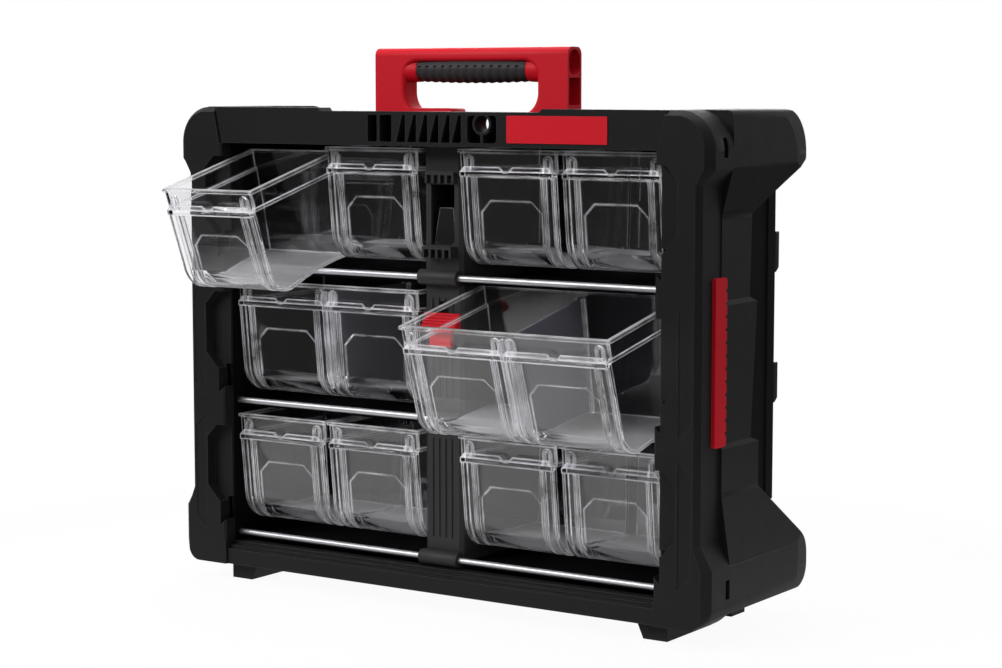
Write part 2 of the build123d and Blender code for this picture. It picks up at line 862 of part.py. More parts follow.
def center_post():
    """Post between the bays: a channel with rod bosses, comb ledges, flutes, window and slider slot."""
    low_z, high_z = base_z + base_thickness, top_panel_z - top_panel_thickness
    back_y = tub_inner_y
    outline = [
        (-bay_inner_x + post_edge, post_front_y),
        (bay_inner_x - post_edge, post_front_y),
        (bay_inner_x, post_front_y + post_edge),
        (bay_inner_x, back_y),
        (-bay_inner_x, back_y),
        (-bay_inner_x, post_front_y + post_edge),
    ]
    post = prism_z(outline, low_z, high_z)
    post -= block(-bay_inner_x + post_wall, bay_inner_x - post_wall, post_front_y + post_wall,
                  back_y + overrun, low_z - overrun, high_z + overrun)
    for rod_z in rod_zs:
        post += rod_x(post_boss_diameter / 2, -bay_inner_x, bay_inner_x, rod_y, rod_z)
        post -= [shelf_plate(rod_z, tongue_clearance), mirrored(shelf_plate(rod_z, tongue_clearance))]
    post += comb_ledges()
    post += bar_guides()
    post -= flute_cuts()
    window_z = rod_zs[-1]
    cut_y = (post_front_y - overrun, post_front_y + post_wall + overrun)
    post -= block(-window_half_width, window_half_width, *cut_y, window_z + window_low_rise,
                  window_z + window_high_rise)
    post -= block(-slot_half_width, slot_half_width, *cut_y, slider_stem_low() - slot_end_gap,
                  slider_stem_low() + stem_height + lock_travel + slot_end_gap)
    for rod_z in rod_zs:
        post -= rod_x(rod_diameter / 2 + rod_fit, -half_width, half_width, rod_y, rod_z)
    return post


def comb_ledges():
    """Two small ledges above the top boss, each with a row of teeth that point down."""
    top_rod_z = rod_zs[-1]
    ledges = []
    for rise, front in zip(comb_rises, comb_fronts):
        low_z = top_rod_z + rise
        y_low = post_front_y - front
        ledge = block(-comb_half_width, comb_half_width, y_low, post_front_y, low_z, low_z + comb_height)
        for tooth in range(comb_rib_count):
            x = (tooth - (comb_rib_count - 1) / 2) * comb_rib_pitch
            ledge -= block(x - comb_slot_width / 2, x + comb_slot_width / 2, y_low - overrun,
                           post_front_y - post_wall / 2, low_z - overrun, low_z + comb_slot_height)
        ledges.append(ledge)
    return ledges


def flute_cuts():
    """Shallow upright flutes down the front of the two lower rows."""
    cuts = []
    for row in range(row_count - 1):
        for flute in range(flute_count):
            x = (flute - (flute_count - 1) / 2) * flute_pitch
            cuts.append(block(x - flute_width / 2, x + flute_width / 2, post_front_y - overrun,
                              post_front_y + flute_depth, rod_zs[row] + flute_margin,
                              rod_zs[row + 1] - flute_margin))
    return cuts


def bar_guides():
    """Rails inside the post that keep the lock bar upright."""
    y_low = post_front_y + post_wall
    guides = []
    inner = bar_half_width + joint_gap
    for drop in guide_drops:
        z = rod_zs[-1] - drop
        guide = block(inner, inner + guide_width, y_low, y_low + guide_depth, z, z + guide_height)
        guides += [guide, mirrored(guide)]
    return guides


def slider_stem_low():
    """Lower end of the slider's stem."""
    return slider_low_z + (slider_height - stem_height) / 2


def lock_slider():
    """Red thumb slider: a ribbed slope over a narrower foot, with a stem through the post."""
    y_back = post_front_y - joint_gap
    y_front = y_back - slider_reach
    high_z = slider_low_z + slider_height
    foot_z = slider_low_z + slider_height * slider_foot_share
    crown_y = y_back - slider_crown
    slope_height = high_z - foot_z - slider_nose
    outline = [
        (y_back, foot_z),
        (y_front, foot_z),
        (y_front, foot_z + slider_nose),
        (crown_y, high_z),
        (y_back, high_z),
    ]
    slider = prism_x(outline, -slider_width / 2, slider_width / 2)
    pitch = slope_height / slider_rib_count
    for rib in range(slider_rib_count):
        low_z = foot_z + slider_nose + rib * pitch
        slope_y = y_front + (crown_y - y_front) * (rib + slider_rib_gap_share) / slider_rib_count
        slider -= block(-slider_width, slider_width, y_front - overrun, slope_y + slider_rib_depth,
                        low_z, low_z + pitch * slider_rib_gap_share)
    slider += block(-slider_foot_width / 2, slider_foot_width / 2, y_back - slider_foot_reach, y_back,
                    slider_low_z, foot_z)
    bar_front_y = post_front_y + post_wall + joint_gap
    slider += block(-stem_width / 2, stem_width / 2, y_back - slider_crown, bar_front_y,
                    slider_stem_low(), slider_stem_low() + stem_height)
    return slider


def lock_bar():
    """Flat bar behind the post, with a broad, one-sided tip that shows in the post's window."""
    y_low = post_front_y + post_wall + joint_gap
    shoulder_z = bar_tip_z - bar_tip_length
    low_half, high_half = bar_tip_half_widths
    outline = [
        (-bar_half_width, bar_low_z),
        (bar_half_width, bar_low_z),
        (bar_half_width, shoulder_z),
        (low_half, shoulder_z),
        (high_half + bar_tip_shift, bar_tip_z),
        (-high_half + bar_tip_shift, bar_tip_z),
        (-low_half, shoulder_z),
        (-bar_half_width, shoulder_z),
    ]
    return prism_y(outline, y_low, y_low + bar_thickness)


def pole(row):
    """Pole of a row's bins: y, z, and the radius that their bottoms glide on."""
    single = row != 1
    setback = single_pole_setback if single else double_pole_setback
    drop = single_pole_drop if single else double_pole_drop
    radius = hypot(setback, drop) + rod_diameter / 2 + bin_glide_gap
    return rod_y + setback, rod_zs[row] - drop, radius


def shelf_plate(rod_z, clearance):
    """Flat of the right half shelf of a row, with its tongues, grown by a clearance."""
    high_z = rod_z - shelf_drop + shelf_thickness
    return block(bay_inner_x - shelf_tongue - clearance, bay_outer_x + shelf_tongue + clearance,
                 rod_y + shelf_setback - clearance, tub_inner_y + clearance,
                 rod_z - shelf_drop - clearance, high_z + clearance)


def half_shelf(row):
    """Right half shelf: a tongued plate, a front lip and the curved rear runner for the bins."""
    rod_z = rod_zs[row]
    pole_y, pole_z, radius = pole(row)
    shelf = shelf_plate(rod_z, 0)
    top_z = rod_z - shelf_drop + shelf_thickness
    lip_y = rod_y + shelf_setback
    x_low, x_high = bay_inner_x + joint_gap, bay_outer_x - joint_gap
    shelf += block(x_low, x_high, lip_y, lip_y + shelf_lip_depth, top_z, top_z + shelf_lip_height)
    runner_high_y = tub_inner_y - runner_rear_gap
    runner = block(x_low, x_high, runner_high_y - runner_width, runner_high_y, top_z, pole_z + radius)
    return shelf + (runner & rod_x(radius - bin_glide_gap, x_low, x_high, pole_y, pole_z))


def steel_rod(row):
    """Bright rod under a row of bins, seated in both liners."""
    end_x = bay_outer_x + rod_seat_depth
    return rod_x(rod_diameter / 2, -end_x, end_x, rod_y, rod_zs[row])


def handle_bolt_hole(x, z_low, z_high):
    """Clearance hole of a handle bolt."""
    y = front_y + handle_setback + handle_thickness / 2
    return rod_along_z(handle_bolt_diameter / 2 + handle_bolt_hole_fit, z_low, z_high, x, y)


def handle():
    """Red D handle on two foot flanges, with a core and fairings for the grip, and pockets in its ends."""
    y_low = front_y + handle_setback
    y_high = y_low + handle_thickness
    body = block(-handle_half_width, handle_half_width, y_low, y_high, top_panel_z, handle_top_z)
    body = fillet(body.edges().filter_by(Axis.X).group_by(Axis.Z)[-1], handle_top_round)
    body -= hand_gap(y_low, y_high)
    rims = [e for face in body.faces().filter_by(Axis.Y) for e in face.edges() if over_grip(e)]
    body = fillet(rims, handle_edge_round) + left_flange(y_low, y_high)
    body -= grip_envelope()
    body += grip_bar(grip_core_diameter / 2)
    fairing = grip_fairing()
    body += [fairing, mirrored(fairing)]
    flange_z = case_height - foot_flange_drops[0]
    split_z = handle_top_z - side_pocket_split_drop
    levels = ((flange_z + side_pocket_low_rise, split_z),
              (split_z + side_pocket_web, handle_top_z - side_pocket_high_drop))
    low_y, high_y = y_low + side_pocket_margin, y_high - side_pocket_margin
    for (low_z, high_z), (low_radius, high_radius) in zip(levels, side_pocket_radii):
        pocket = prism_x([(low_y, low_z), (high_y, low_z), (high_y, high_z), (low_y, high_z)],
                         handle_half_width - side_pocket_depth, handle_half_width + overrun,
                         [low_radius, low_radius, high_radius, high_radius])
        body -= [pocket, mirrored(pocket)]
    for x in handle_bolt_xs:
        body -= handle_bolt_hole(x, top_panel_z - overrun, top_panel_z + handle_bolt_reach)
    return body


def hand_gap(y_low, y_high):
    """Opening for the hand, down to the top panel between the two foot flanges."""
    left_end_x, right_end_x = foot_flange_ends_x
    low_z = top_panel_z - overrun
    flange_z = case_height - foot_flange_drops[-1]
    outline = [
        (left_end_x, low_z),
        (right_end_x, low_z),
        (right_end_x, flange_z),
        (hand_gap_half_width, flange_z),
        (hand_gap_half_width, hand_gap_high_z),
        (-hand_gap_half_width, hand_gap_high_z),
        (-hand_gap_half_width, flange_z),
        (left_end_x, flange_z),
    ]
    radii = [0, 0, foot_flange_corner, hand_gap_low_radius, hand_gap_high_radius, hand_gap_high_radius,
             hand_gap_low_radius, foot_flange_corner]
    return prism_y(outline, y_low, y_high, radii)


def left_flange(y_low, y_high):
    """Foot flange of the left leg, which stands higher than the right one."""
    end_x = foot_flange_ends_x[0]
    high_z = case_height - foot_flange_drops[0]
    outline = [
        (-handle_half_width, top_panel_z),
        (end_x, top_panel_z),
        (end_x, high_z),
        (-handle_half_width, high_z),
    ]
    return prism_y(outline, y_low, y_high, [0, 0, foot_flange_corner, 0])


def over_grip(edge):
    """Whether an edge of the handle's flat lies round the upper part of the hand gap."""
    inside = abs(edge.center().X) < hand_gap_half_width + overrun
    return inside and case_height + hand_gap_low_radius / 2 < edge.center().Z < hand_gap_high_z + overrun


def grip_axis_z():
    """Height of the grip's middle."""
    return hand_gap_high_z - grip_drop


def grip_bar(radius):
    """Round bar on the grip's line, into both fairings."""
    y_mid = front_y + handle_setback + handle_thickness / 2
    return rod_x(radius, -grip_half_length, grip_half_length, y_mid, grip_axis_z())


def grip_fairing():
    """Right cone between the grip's end and the handle's leg."""
    y_mid = front_y + handle_setback + handle_thickness / 2
    cone = Cone(grip_diameter / 2, fairing_diameter / 2, fairing_length)
    return Pos(grip_half_length + fairing_length / 2, y_mid, grip_axis_z()) * Rot(0, 90, 0) * cone


def grip_envelope():
    """Round body of the grip, with a slight belly."""
    y_mid = front_y + handle_setback + handle_thickness / 2
    axis_z = grip_axis_z()
    rim_z = axis_z - grip_diameter / 2
    low_end, high_end = (-grip_half_length, y_mid, axis_z), (grip_half_length, y_mid, axis_z)
    low_rim, high_rim = (-grip_half_length, y_mid, rim_z), (grip_half_length, y_mid, rim_z)
    belly = ThreePointArc(low_rim, (0, y_mid, rim_z - grip_belly), high_rim)
    half = make_face([Line(low_end, low_rim), belly, Line(high_rim, high_end), Line(high_end, low_end)])
    return revolve(half, Axis((0, y_mid, axis_z), (1, 0, 0)))


def handle_grip():
    """Rubber sleeve round the handle's core, with ribs on its lower half."""
    y_mid = front_y + handle_setback + handle_thickness / 2
    axis_z = grip_axis_z()
    radius = grip_diameter / 2
    grip = grip_envelope() - grip_bar(grip_core_diameter / 2)
    pitch = grip_half_length * 2 / (grip_rib_count + 1)
    low_half = block(-grip_half_length, grip_half_length, y_mid - grip_diameter, y_mid + grip_diameter,
                     axis_z - grip_diameter, axis_z)
    for rib in range(grip_rib_count):
        x = (rib - (grip_rib_count - 1) / 2) * pitch
        ring = rod_x(grip_diameter, x - grip_rib_gap / 2, x + grip_rib_gap / 2, y_mid, axis_z)
        ring -= rod_x(radius - grip_rib_depth, x - grip_rib_gap, x + grip_rib_gap, y_mid, axis_z)
        grip -= ring & low_half
    return grip


def handle_bolts():
    """Bolts from below the top panel into the handle's legs."""
    y = front_y + handle_setback + handle_thickness / 2
    under_z = top_panel_z - top_panel_thickness
    tip_z = top_panel_z + handle_bolt_reach - overrun
    bolts = []
    for x in handle_bolt_xs:
        bolt = rod_along_z(handle_bolt_head / 2, under_z - handle_bolt_head_height, under_z, x, y)
        bolt += rod_along_z(handle_bolt_diameter / 2, under_z - overrun, tip_z, x, y)
        bolts.append(bolt)
    return bolts


def skid(y_low, length):
    """Right foot with a sloped inner side, under the base."""
    inner_x, outer_x = bay_outer_x + skid_inner_reach, bay_outer_x + skid_outer_reach
    outline = [
        (inner_x + skid_slope, 0),
        (outer_x, 0),
        (outer_x, base_z),
        (inner_x, base_z),
    ]
    return prism_y(outline, y_low, y_low + length)


def screw_hole(x, z):
    """Clearance hole of a back screw, through the tub into the liner block."""
    return rod_along_y(screw_diameter / 2 + screw_fit, tub_inner_y - screw_length, tub_rear_y + overrun, x, z)


def back_screws():
    """Screws that hold the tub to the liners."""
    screws = []
    tip_y = tub_inner_y - screw_length + overrun
    head_y = tub_rear_y + screw_head_height
    for x in screw_xs:
        for z in screw_zs:
            screw = rod_along_y(screw_diameter / 2, tip_y, head_y, x, z)
            screw += rod_along_y(screw_head / 2, tub_rear_y, head_y, x, z)
            screws.append(screw)
    return screws


def front_y_at(row, z):
    """Place of a bin's leaning front at a height."""
    rise_share = (z - rod_zs[row] - bin_toe_rise) / (bin_rise - bin_toe_rise)
    return rod_y + bin_toe_setback - (bin_toe_setback + bin_front_lead) * rise_share


def rear_y_at(row, z):
    """Place of a bin's leaning rear at a height."""
    rise_share = (z - rod_zs[row] - bin_toe_rise) / (bin_rise - bin_toe_rise)
    return rod_y + bin_rear_setback - bin_rear_taper * (1 - rise_share)


def bin_outline(row, wall, top_z):
    """Side profile of a bin, drawn in by a wall at front and rear, from below its glide circle to top_z."""
    low_z = rod_zs[row]
    return [
        (front_y_at(row, low_z) + wall, low_z),
        (front_y_at(row, top_z) + wall, top_z),
        (rear_y_at(row, top_z) - wall, top_z),
        (rear_y_at(row, low_z) - wall, low_z),
    ]


def bin_solid(row, x_low, x_high, wall, top_z):
    """A bin's body between two side faces: its profile above the glide circle, with a rounded toe."""
    pole_y, pole_z, radius = pole(row)
    body = prism_x(bin_outline(row, wall, top_z), x_low, x_high)
    body -= rod_x(radius + max(wall, 0), x_low - overrun, x_high + overrun, pole_y, pole_z)
    low_edges = [e for e in body.edges().filter_by(Axis.X) if e.center().Z < rod_zs[row] + bin_rise / 2]
    toe = min(low_edges, key=lambda e: e.center().Y)
    return fillet(toe, bin_toe_radius - wall)


def parts_bin(row, x_center, cells):
    """Clear bin in its closed place: stepped walls, rim, grip ledge, front ribs and window for each cell."""
    rim_half = (bay_pitch * cells - bin_gap) / 2
    upper_half = rim_half - bin_rim_width
    lower_half = upper_half - bin_step
    rim_z = rod_zs[row] + bin_rise
    ledge_z = rim_z - bin_ledge_drop
    low_x, high_x = x_center - upper_half, x_center + upper_half
    outer = bin_solid(row, low_x, high_x, 0, rim_z)
    inner = bin_solid(row, low_x + bin_wall, high_x - bin_wall, bin_wall, rim_z + overrun)
    for side in (-1, 1):
        outer -= wall_step(row, x_center, side, lower_half, upper_half + overrun, ledge_z)
        inner -= wall_step(row, x_center, side, lower_half - bin_wall, upper_half, ledge_z + bin_wall)
    shell = outer + bin_rim(row, x_center, rim_half)
    shell += bin_front(row, x_center, cells, lower_half)
    shell -= inner
    shell -= window_cuts(row, x_center, cells, lower_half)
    if cells > 1:
        shell += divider_guides(row, x_center)
    return shell


def wall_step(row, x_center, side, x_near, x_far, high_z):
    """The strip of side wall, below a height, that lies outside a bin's narrower lower part."""
    x_low, x_high = sorted((x_center + side * x_near, x_center + side * x_far))
    return block(x_low, x_high, front_y, rear_y, rod_zs[row], high_z)


def window_cuts(row, x_center, cells, lower_half):
    """Shallow sunk panel with two cut corners in the front of each cell."""
    ledge_z = rod_zs[row] + bin_rise - bin_ledge_drop
    high_z = ledge_z - bin_window_drop
    low_z = rod_zs[row] + bin_toe_rise + bin_toe_radius / 2
    cell_width = lower_half * 2 / cells
    half = cell_width / 2 - bin_rib_spacing - bin_rib_width - bin_window_margin
    cuts = []
    for cell in range(cells):
        x = x_center - lower_half + (cell + 1 / 2) * cell_width
        outline = [
            (x - half, low_z),
            (x + half, low_z),
            (x + half, high_z - bin_window_corner),
            (x + half - bin_window_corner, high_z),
            (x - half + bin_window_corner, high_z),
            (x - half, high_z - bin_window_corner),
        ]
        panel = prism_y(outline, rod_y - bin_ledge_reach, rod_y + bin_toe_setback + bin_wall)
        skin = prism_x(bin_outline(row, bin_window_depth, ledge_z), x - half - overrun, x + half + overrun)
        cuts.append(panel - skin)
    return cuts


def divider_guides(row, x_center):
    """Upright guides for the divider, inside the front and the rear of a double bin."""
    rim_z = rod_zs[row] + bin_rise
    top_z = rim_z - divider_drop
    near = divider_thickness / 2 + divider_gap
    guides = []
    for side in (-1, 1):
        x_low, x_high = sorted((x_center + side * near, x_center + side * (near + divider_guide_width)))
        body = bin_solid(row, x_low, x_high, bin_wall / 2, top_z)
        middle = prism_x(bin_outline(row, bin_wall + divider_guide_depth, rim_z), x_low - overrun,
                         x_high + overrun)
        guides += (body - middle).solids()
    return guides


def bin_divider(row, x_center):
    """Removable divider that drops between the guides of a double bin."""
    top_z = rod_zs[row] + bin_rise - divider_drop
    half = divider_thickness / 2
    return bin_solid(row, x_center - half, x_center + half, bin_wall + divider_gap, top_z)


def bin_rim(row, x_center, rim_half):
    """Lip round the top of a bin."""
    rim_z = rod_zs[row] + bin_rise
    y_low = rod_y - bin_front_lead - bin_rim_width
    y_high = rod_y + bin_rear_setback
    return block(x_center - rim_half, x_center + rim_half, y_low, y_high, rim_z - bin_rim_height, rim_z)


def bin_front(row, x_center, cells, lower_half):
    """Grip ledge with two raised lips, and two pairs of upright ribs, for each cell of a bin's front."""
    ledge_z = rod_zs[row] + bin_rise - bin_ledge_drop
    ledge_y = front_y_at(row, ledge_z) - bin_ledge_reach
    back_y = front_y_at(row, ledge_z) + bin_wall
    lip_y = ledge_y + bin_lip_depth
    cell_width = lower_half * 2 / cells
    rib = front_rib(row)
    pieces = []
    for cell in range(cells):
        left = x_center - lower_half + cell * cell_width
        right = left + cell_width
        middle = (left + right) / 2
        pieces.append(block(left, right, ledge_y, back_y, ledge_z - bin_ledge_thickness, ledge_z))
        for x_low, x_high in ((left, middle - bin_lip_gap / 2), (middle + bin_lip_gap / 2, right)):
            lip = [
                (x_low, ledge_z),
                (x_high, ledge_z),
                (x_high - bin_lip_slope, ledge_z + bin_lip_height),
                (x_low + bin_lip_slope, ledge_z + bin_lip_height),
            ]
            pieces.append(prism_y(lip, ledge_y, lip_y))
        pieces += hairpins(row, left, right)
        inset = bin_rib_spacing + bin_rib_width
        for x in (left, left + bin_rib_spacing, right - inset, right - bin_rib_width):
            pieces.append(Pos(x, 0, 0) * rib)
    return pieces


def hairpins(row, left, right):
    """Raised round-topped stiffener in each upper corner of a cell's front."""
    ledge_z = rod_zs[row] + bin_rise - bin_ledge_drop
    low_y = front_y_at(row, rod_zs[row] + bin_rise) - bin_hairpin_proud
    high_y = front_y_at(row, ledge_z) + bin_wall
    high_z = rod_zs[row] + bin_rise - bin_hairpin_drop
    pins = []
    for x in (left + bin_hairpin_inset, right - bin_hairpin_inset - bin_hairpin_width):
        outer = round_topped(x, x + bin_hairpin_width, ledge_z, high_z, low_y, high_y)
        inner = round_topped(x + bin_hairpin_wall, x + bin_hairpin_width - bin_hairpin_wall, ledge_z,
                             high_z - bin_hairpin_wall, low_y, high_y)
        pins.append(outer - inner)
    return pins


def round_topped(x_low, x_high, z_low, z_high, y_low, y_high):
    """Upright plate with a half-round top."""
    radius = (x_high - x_low) / 2
    plate = block(x_low, x_high, y_low, y_high, z_low, z_high - radius)
    return plate + rod_along_y(radius, y_low, y_high, (x_low + x_high) / 2, z_high - radius)


def front_rib(row):
    """One front rib of a row's bins, from the ledge round under the toe."""
    ledge_z = rod_zs[row] + bin_rise - bin_ledge_drop
    rib = bin_solid(row, 0, bin_rib_width, -bin_rib_depth, ledge_z)
    toe_end_y = rod_y + bin_toe_setback + bin_toe_radius
    return rib & block(0, bin_rib_width, front_y, toe_end_y, rod_zs[row], ledge_z)


def tipped(shape, row):
    """A bin drawn out and tipped to the end of its travel."""
    pole_y, pole_z, _ = pole(row)
    angle = single_tip_angle if row != 1 else double_tip_angle
    return Pos(0, pole_y, pole_z) * Rot(angle, 0, 0) * Pos(0, -pole_y, -pole_z) * shape


def save(name, shape):
    """Write one piece, or a group of like pieces, to its file."""
    solids = shape if isinstance(shape, list) else [shape]
    export_step(Compound(children=[s for piece in solids for s in piece.solids()]), f"parts/{name}.step")


def main():
    os.makedirs("parts", exist_ok=True)
    frame = side_frame()
    save("right_side_frame", frame)
    save("left_side_frame", mirrored(frame))
    liner = bay_liner()
    save("right_bay_liner", liner)
    save("left_bay_liner", mirrored(liner))
    save("top_rail", top_rail())
    save("badge_plate", badge_plate())
    save("top_panel", top_panel())
    save("base_panel", base_panel())
    save("bottom_rail", bottom_rail())
    save("back_panel", back_panel())
    save("back_cleats", back_cleats())
    save("back_screws", back_screws())
    save("center_post", center_post())
    save("lock_slider", lock_slider())
    save("lock_bar", lock_bar())
    save("handle", handle())
    save("handle_grip", handle_grip())
    save("handle_bolts", handle_bolts())
    save("right_grip_strip", grip_strip())
    save("left_grip_strip", mirrored(grip_strip()))
    rear_foot_y = rear_y - rear_foot_gap - rear_foot_length
    for place, y_low, length in (("front", front_y + front_skid_setback, front_skid_length),
                                 ("rear", rear_foot_y, rear_foot_length)):
        foot = skid(y_low, length)
        save(f"right_{place}_foot", foot)
        save(f"left_{place}_foot", mirrored(foot))
    row_names = ("lower", "middle", "upper")
    for row, row_name in enumerate(row_names):
        save(f"{row_name}_rod", steel_rod(row))
        shelf = half_shelf(row)
        save(f"{row_name}_right_shelf", shelf)
        save(f"{row_name}_left_shelf", mirrored(shelf))
        cells = 2 if row == 1 else 1
        first = bay_inner_x + bay_pitch * cells / 2
        for place in range(2 // cells):
            x = first + place * bay_pitch
            shape = parts_bin(row, x, cells)
            side = ("inner", "outer")[place] if cells == 1 else "double"
            right, left = shape, mirrored(shape)
            if row == 1:
                right = tipped(right, row)
            if row == 2 and place == 1:
                left = tipped(left, row)
            save(f"{row_name}_right_{side}_bin", right)
            save(f"{row_name}_left_{side}_bin", left)
            if cells > 1:
                divider = bin_divider(row, x)
                save(f"{row_name}_right_divider", tipped(divider, row))
                save(f"{row_name}_left_divider", mirrored(divider))


main()
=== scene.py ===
import math

import bpy
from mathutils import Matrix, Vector


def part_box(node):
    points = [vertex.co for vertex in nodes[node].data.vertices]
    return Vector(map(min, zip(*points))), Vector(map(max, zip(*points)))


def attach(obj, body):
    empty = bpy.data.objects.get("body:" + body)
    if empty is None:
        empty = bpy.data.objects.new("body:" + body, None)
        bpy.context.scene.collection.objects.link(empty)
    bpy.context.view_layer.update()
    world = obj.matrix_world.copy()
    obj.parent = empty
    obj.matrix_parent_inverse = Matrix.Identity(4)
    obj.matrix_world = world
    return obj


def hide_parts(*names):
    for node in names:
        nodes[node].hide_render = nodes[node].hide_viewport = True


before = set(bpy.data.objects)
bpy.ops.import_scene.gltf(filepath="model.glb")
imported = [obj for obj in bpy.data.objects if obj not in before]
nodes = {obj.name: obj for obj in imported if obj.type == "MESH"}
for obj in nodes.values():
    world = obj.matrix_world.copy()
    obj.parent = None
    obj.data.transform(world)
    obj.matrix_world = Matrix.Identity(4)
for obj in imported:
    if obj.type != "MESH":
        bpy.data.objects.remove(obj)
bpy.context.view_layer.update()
MM = 0.001
SIDES = ("right", "left")

# Names of the CAD nodes by finish
FRAME_NODES = [f"{side}_side_frame" for side in SIDES]
CROSS_NODES = ["top_rail", "top_panel", "base_panel", "bottom_rail"]
LINER_NODES = [f"{side}_bay_liner" for side in SIDES]
SHELF_NODES = [f"{row}_{side}_shelf" for row in ("lower", "middle", "upper") for side in SIDES]
RED_NODES = [f"{side}_grip_strip" for side in SIDES] + ["handle", "badge_plate", "lock_slider"]
FOOT_NODES = [f"{side}_{place}_foot" for side in SIDES for place in ("front", "rear")]
STEEL_NODES = ["lower_rod", "middle_rod", "upper_rod", "back_screws", "handle_bolts"]
BIN_NODES = [name for name in nodes if name.endswith("_bin")]
DIVIDER_NODES = [f"middle_{side}_divider" for side in SIDES]

# Rounded edges that modifiers add to the CAD nodes
OUTER_EDGE = 0.5 * MM
INNER_EDGE = 0.4 * MM
BIN_EDGE = 0.3 * MM
TAB_EDGE = 0.2 * MM
EDGE_ANGLE = math.radians(32)
EDGE_SEGMENTS = 2
WELD_GAP = 0.002 * MM

# Noise scales are in features per metre, and cosines say where a slope's mask starts and ends
NOISE_DETAIL = 3.0
FINE_DETAIL = 2.0
TONE_SCALE = 14.0
TONE_DETAIL = 4.0
GLOSS_SCALE = 60.0
GRAIN_SCALE = 2600.0
GRAIN_DEPTH = 0.06 * MM
# Painted highlight along edges: its width, where it starts and ends, and the noise that breaks it into
# patches
EDGE_HIGHLIGHT_RADIUS = 0.9 * MM
EDGE_HIGHLIGHT_COSINES = (0.995, 0.80)
EDGE_HIGHLIGHT_SCALE = 160.0
EDGE_HIGHLIGHT_SHARES = (0.1, 1.0)
# Back shell: rear faces keep the plastic's own black, in noise patches; its other faces keep a darker colour
# that is painted shade
REAR_COSINES = (0.5, 0.8)
REAR_PATCH_SCALE = 22.0
REAR_PATCH_SHARES = (0.8, 1.0)
EDGE_SAMPLES = 4

# Clear plastic of the bins: clear walls, frosted level faces, and ribs and edges painted near-white as a
# painted highlight
LEVEL_COSINES = (0.86, 0.94)
RIB_RADIUS = 2.6 * MM
RIB_COSINES = (0.97, 0.80)
RIB_SCALE = 45.0
RIB_NOISE_BAND = (0.35, 0.6)
RIB_SHARES = (0.3, 1.0)
WALL_CLEAR_SHARE = 1.0
LEVEL_CLEAR_SHARE = 0.75
RIB_CLEAR_SHARE = 0.15
WALL_ROUGHNESS = 0.012
LEVEL_ROUGHNESS = 0.30
CLEAR_IOR = 1.58
RIPPLE_SCALE = 25.0
RIPPLE_STRENGTH = 0.02
RIPPLE_DEPTH = 0.3 * MM
LAMP_TINT = (0.90, 0.90, 0.91, 1)

# Drawn streaks of the steel, stretched along the rods
STREAK_SCALE = 900.0
STREAK_STRETCH = (0.02, 1, 1)
STREAK_STRENGTH = 0.03
STREAK_DEPTH = 0.01 * MM


class Graph:
    """Small helper to build the node tree of a material or a world."""

    def __init__(self, owner):
        self.owner = owner
        owner.use_nodes = True
        self.tree = owner.node_tree
        self.shader = self.tree.nodes.get("Principled BSDF") or self.tree.nodes["Background"]
        self.output = self.tree.nodes.get("Material Output") or self.tree.nodes["World Output"]
        self.coords = self.tree.nodes.new("ShaderNodeTexCoord")

    def add(self, kind, inputs=None, **settings):
        """A new node with these settings, and these values or links on its inputs."""
        node = self.tree.nodes.new(kind)
        for key, value in settings.items():
            setattr(node, key, value)
        for key, value in (inputs or {}).items():
            self.put(node.inputs[key], value)
        return node

    def put(self, socket, value):
        """Links a socket to another, or sets its value."""
        if isinstance(value, bpy.types.NodeSocket):
            self.tree.links.new(value, socket)
        else:
            socket.default_value = value

    def drive(self, **inputs):
        """Puts values or links on the main shader, with _ for a space in a socket's name."""
        for name, value in inputs.items():
            self.put(self.shader.inputs[name.replace("_", " ")], value)

    def noise(self, scale, detail=NOISE_DETAIL, stretch=(1, 1, 1)):
        """Noise on object coordinates, stretched along each axis."""
        place = self.add("ShaderNodeMapping", {"Vector": self.coords.outputs["Object"], "Scale": stretch})
        node = self.add("ShaderNodeTexNoise", {"Vector": place.outputs[0], "Scale": scale, "Detail": detail})
        return node.outputs["Fac"]

    def span(self, value, low, high, first=0.0, last=1.0):
        """Value from first..last moved to low..high, and held there beyond."""
        node = self.add("ShaderNodeMapRange", {"Value": value, "From Min": first, "From Max": last,
                                               "To Min": low, "To Max": high})
        return node.outputs["Result"]

    def math(self, operation, first, second=0.0):
        """One sum of two numbers or links."""
        return self.add("ShaderNodeMath", {0: first, 1: second}, operation=operation).outputs[0]

    def mix(self, factor, first, second):
        """Colour between two colours or links."""
        node = self.add("ShaderNodeMix", {"Factor": factor}, data_type="RGBA")
        ends = [socket for socket in node.inputs if socket.type == "RGBA"]
        for socket, value in zip(ends, (first, second)):
            self.put(socket, value if isinstance(value, bpy.types.NodeSocket) else (*value, 1))
        return next(socket for socket in node.outputs if socket.type == "RGBA")

    def mix_shaders(self, factor, first, second):
        """Shows a mix of two shaders on the surface."""
        node = self.add("ShaderNodeMixShader", {0: factor, 1: first.outputs[0], 2: second.outputs[0]})
        self.put(self.output.inputs["Surface"], node.outputs[0])

    def bump(self, height, strength, distance):
        """Normal that follows a height."""
        node = self.add("ShaderNodeBump", {"Height": height, "Strength": strength, "Distance": distance})
        return node.outputs["Normal"]

    def slope(self, axis):
        """How far a face looks along an axis, from -1 to 1."""
        face = self.add("ShaderNodeNewGeometry")
        split = self.add("ShaderNodeSeparateXYZ", {"Vector": face.outputs["True Normal"]})
        return split.outputs[axis]

    def edge(self, radius, cosines):
        """1 on a piece's edges, 0 on its faces, by how far the rounded normal leans from the face's."""
        bevel = self.add("ShaderNodeBevel", {"Radius": radius}, samples=EDGE_SAMPLES)
        face = self.add("ShaderNodeNewGeometry")
        facing = self.add("ShaderNodeVectorMath", {0: bevel.outputs[0], 1: face.outputs["Normal"]},
                          operation="DOT_PRODUCT")
        return self.span(self.math("ABSOLUTE", facing.outputs["Value"]), 0.0, 1.0, *cosines)


